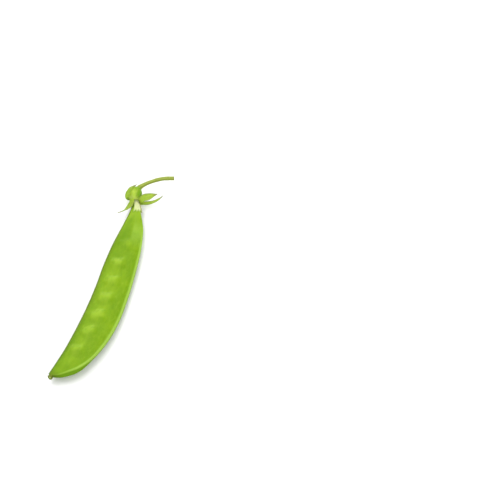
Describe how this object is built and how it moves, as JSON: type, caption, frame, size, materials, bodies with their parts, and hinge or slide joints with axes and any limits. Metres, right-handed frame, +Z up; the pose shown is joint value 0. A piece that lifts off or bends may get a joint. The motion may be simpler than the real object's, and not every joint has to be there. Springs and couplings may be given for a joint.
{
  "type": "snow pea pod",
  "caption": "Flat green snow pea pod with soft pea swellings, a corded arched seam, a small cup-shaped calyx with curled sepals and a cut curved stem.",
  "frame": {"origin": "flat rest spot on the lower valve, under the middle pea", "axes": "+X from the calyx to the beak, +Y from the straight seam to the arched seam, +Z up from the surface that the pod lies on"},
  "size_m": [0.1164, 0.0244, 0.009],
  "materials": {
    "pod": "waxy satin green skin",
    "calyx": "matt yellow-green leaf",
    "stem": "matt ribbed olive green",
    "stamens": "dry papery pale yellow",
    "style": "dry matt brown"
  },
  "bodies": {
    "root": {"pod": "pod", "calyx": "calyx", "stem": "stem", "stamens": "stamens", "style": "style"}
  },
  "joints": []
}
